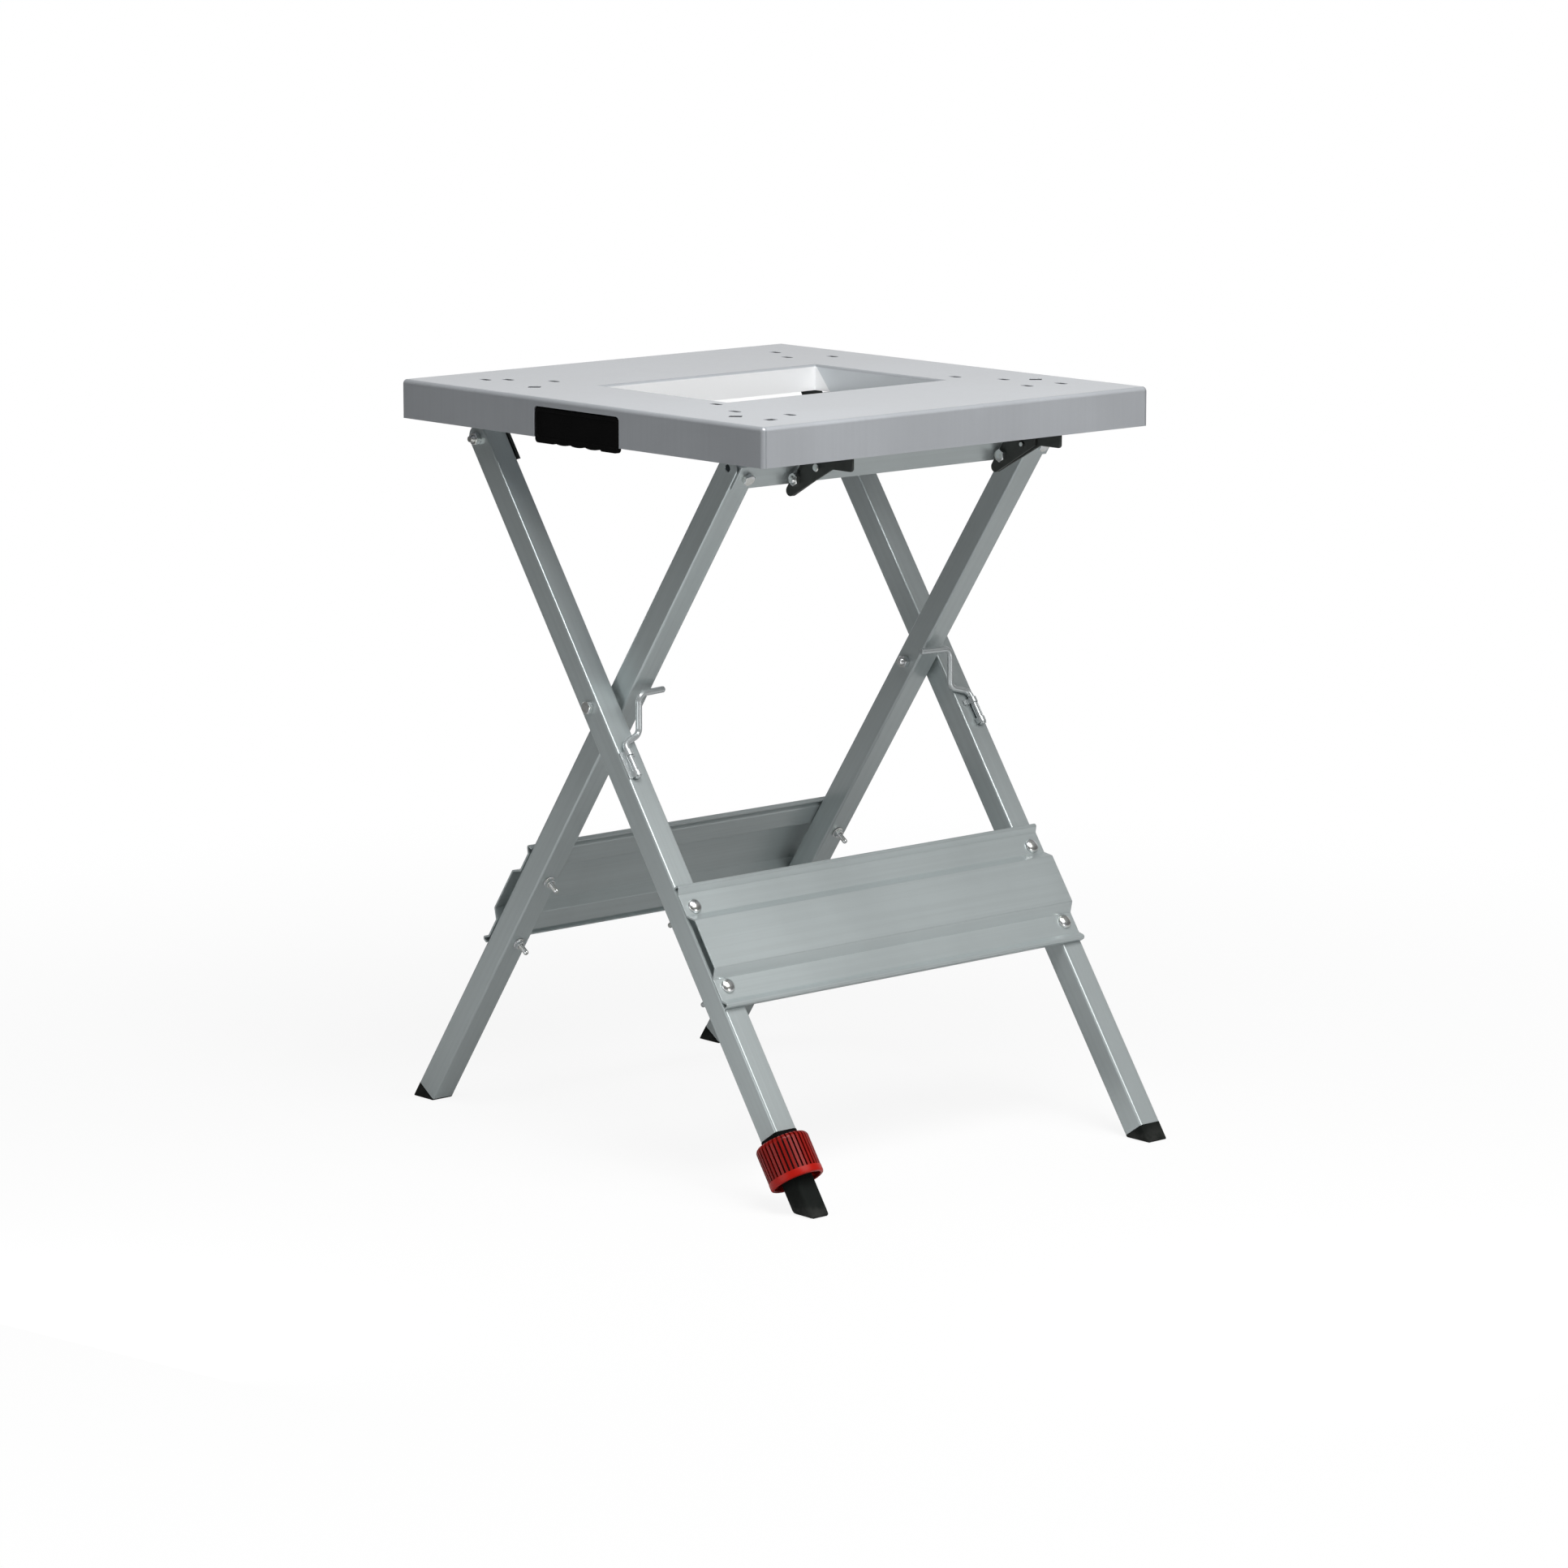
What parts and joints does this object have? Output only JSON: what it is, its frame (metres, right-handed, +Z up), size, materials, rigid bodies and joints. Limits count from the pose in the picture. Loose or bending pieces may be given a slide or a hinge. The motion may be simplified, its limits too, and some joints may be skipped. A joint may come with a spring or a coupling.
{
  "type": "miter saw stand",
  "caption": "Folding miter saw stand: pressed steel table with a cut-out on crossed square-tube legs joined by pressed panels, with catches, wire locks and a height knob.",
  "frame": {"origin": "on the floor under the middle of the stand as it stands open", "axes": "+Z up, X along the front edge of the table, -Y to the front, the adjustable foot at front left (-X)"},
  "size_m": [0.575, 0.7348, 0.85],
  "materials": {
    "table_paint": "satin powder coat",
    "grey_paint": "satin powder coat",
    "dark_steel": "dark satin coat",
    "zinc": "bright zinc plate",
    "black_plastic": "moulded",
    "black_rubber": "moulded",
    "red_plastic": "moulded"
  },
  "bodies": {
    "outer_frame": {"outer_leg_left": "grey_paint", "outer_leg_right": "grey_paint", "front_panel": "grey_paint", "front_panel_bolt_upper_left": "zinc", "front_panel_nut_upper_left": "zinc", "front_panel_bolt_upper_right": "zinc", "front_panel_nut_upper_right": "zinc", "front_panel_bolt_lower_left": "zinc", "front_panel_nut_lower_left": "zinc", "front_panel_bolt_lower_right": "zinc", "front_panel_nut_lower_right": "zinc", "crossing_bolt_left": "zinc", "crossing_bolt_right": "zinc", "crossing_nut_left": "zinc", "crossing_nut_right": "zinc", "crossing_spacer_left": "zinc", "crossing_spacer_right": "zinc", "hinge_bolt_left": "zinc", "hinge_bolt_right": "zinc", "hinge_nut_left": "zinc", "hinge_nut_right": "zinc", "wire_clip_left": "grey_paint", "wire_clip_right": "grey_paint", "foot_cap_outer_right": "black_rubber", "foot_socket": "black_plastic"},
    "inner_frame": {"inner_leg_left": "grey_paint", "inner_leg_right": "grey_paint", "rear_panel": "grey_paint", "rear_panel_bolt_upper_left": "zinc", "rear_panel_nut_upper_left": "zinc", "rear_panel_bolt_upper_right": "zinc", "rear_panel_nut_upper_right": "zinc", "rear_panel_bolt_lower_left": "zinc", "rear_panel_nut_lower_left": "zinc", "rear_panel_bolt_lower_right": "zinc", "rear_panel_nut_lower_right": "zinc", "cross_bar": "grey_paint", "cross_bar_bolt_left": "zinc", "cross_bar_bolt_right": "zinc", "foot_cap_inner_left": "black_rubber", "foot_cap_inner_right": "black_rubber"},
    "table": {"table_top": "table_paint", "carry_handle": "black_plastic", "hinge_bracket_left": "dark_steel", "hinge_bracket_right": "dark_steel", "catch_bracket_left": "dark_steel", "catch_bracket_right": "dark_steel", "catch_bolt_left": "zinc", "catch_bolt_right": "zinc", "catch_nut_left": "zinc", "catch_nut_right": "zinc"},
    "wire_lock_left": {"wire_lock_left": "grey_paint"},
    "wire_lock_right": {"wire_lock_right": "grey_paint"},
    "catch_lever_left": {"catch_lever_left": "dark_steel", "catch_stud_left": "zinc"},
    "catch_lever_right": {"catch_lever_right": "dark_steel", "catch_stud_right": "zinc"},
    "foot": {"foot_block": "black_rubber"},
    "knob": {"foot_knob": "red_plastic"}
  },
  "joints": [
    {"name": "legs_fold", "type": "hinge", "parent": "outer_frame", "child": "inner_frame", "pos_m": [0, 0, 0.51114], "axis": [-1, 0, 0], "range_deg": [0, 64]},
    {"name": "table_hinge", "type": "hinge", "parent": "outer_frame", "child": "table", "pos_m": [0, 0.1921, 0.7917], "axis": [-1, 0, 0], "range_deg": [0, 32]},
    {"name": "wire_lock_left_swing", "type": "hinge", "parent": "outer_frame", "child": "wire_lock_left", "pos_m": [-0.261, -0.06185, 0.45533], "axis": [0, -0.565, -0.8251], "range_deg": [0, 60]},
    {"name": "wire_lock_right_swing", "type": "hinge", "parent": "outer_frame", "child": "wire_lock_right", "pos_m": [0.261, -0.06185, 0.45533], "axis": [0, 0.565, 0.8251], "range_deg": [0, 60]},
    {"name": "catch_lever_left_swing", "type": "hinge", "parent": "table", "child": "catch_lever_left", "pos_m": [-0.1555, -0.21562, 0.7756], "axis": [-1, 0, 0], "range_deg": [0, 17]},
    {"name": "catch_lever_right_swing", "type": "hinge", "parent": "table", "child": "catch_lever_right", "pos_m": [0.1555, -0.21562, 0.7756], "axis": [-1, 0, 0], "range_deg": [0, 17]},
    {"name": "foot_slide", "type": "slide", "parent": "outer_frame", "child": "foot", "axis": [0, -0.565, -0.8251], "range_m": [0, 0.014]},
    {"name": "knob_turn", "type": "hinge", "parent": "foot", "child": "knob", "pos_m": [-0.256, -0.31073, 0.05733], "axis": [0, -0.565, -0.8251], "range_deg": [0, 2880]}
  ],
  "couplings": [
    {"joint": "table_hinge", "follows": "legs_fold", "ratio": 0.5},
    {"joint": "foot_slide", "follows": "knob_turn", "m_per_rad": 0.00027852}
  ]
}
